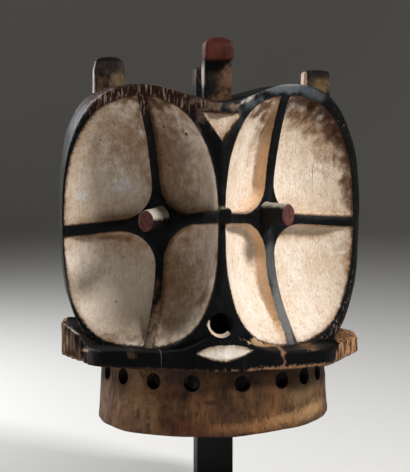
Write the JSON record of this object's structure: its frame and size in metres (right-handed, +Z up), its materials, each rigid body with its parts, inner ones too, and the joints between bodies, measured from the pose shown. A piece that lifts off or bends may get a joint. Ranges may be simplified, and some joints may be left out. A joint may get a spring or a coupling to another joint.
{
  "type": "bembe helmet mask",
  "caption": "Two-faced carved wooden helmet mask with crossed eye dishes, crest lugs, jaw flange and laced collar, on a square post and foot plate.",
  "frame": {"origin": "middle of the foot plate's underside, on the floor", "axes": "+Z up, -Y towards the pictured face, +X to the viewer's right"},
  "size_m": [0.3363, 0.29, 0.529],
  "materials": {
    "painted_wood": "matte",
    "stand": "satin"
  },
  "bodies": {
    "root": {"helmet_mask": "painted_wood", "display_post": "stand", "display_foot": "stand"}
  },
  "joints": []
}
